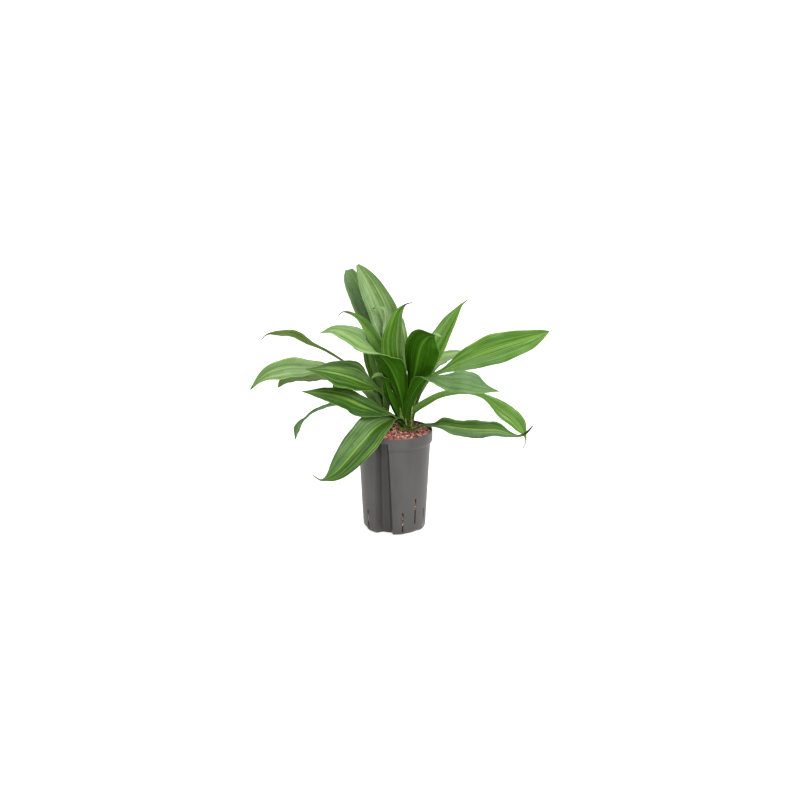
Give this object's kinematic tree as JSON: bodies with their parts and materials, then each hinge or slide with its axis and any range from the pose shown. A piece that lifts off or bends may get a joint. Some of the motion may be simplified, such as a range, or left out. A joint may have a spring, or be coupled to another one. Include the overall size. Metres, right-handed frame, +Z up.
{
  "type": "potted dracaena",
  "caption": "Bushy dracaena with broad arching lance-shaped leaves, standing in a fluted grey culture pot filled with expanded clay granules.",
  "frame": {"origin": "middle of the pot's flat underside", "axes": "+Z up along the pot's axis, the front of the plant looks along -Y, +X to the right of it"},
  "size_m": [0.575, 0.401, 0.5035],
  "materials": {
    "grey_plastic": "satin",
    "fired_clay": "matte",
    "leaf": "satin"
  },
  "bodies": {
    "root": {"pot": "grey_plastic", "clay_granules": "fired_clay", "shoot_main": "leaf", "shoot_left": "leaf", "shoot_right": "leaf"}
  },
  "joints": []
}
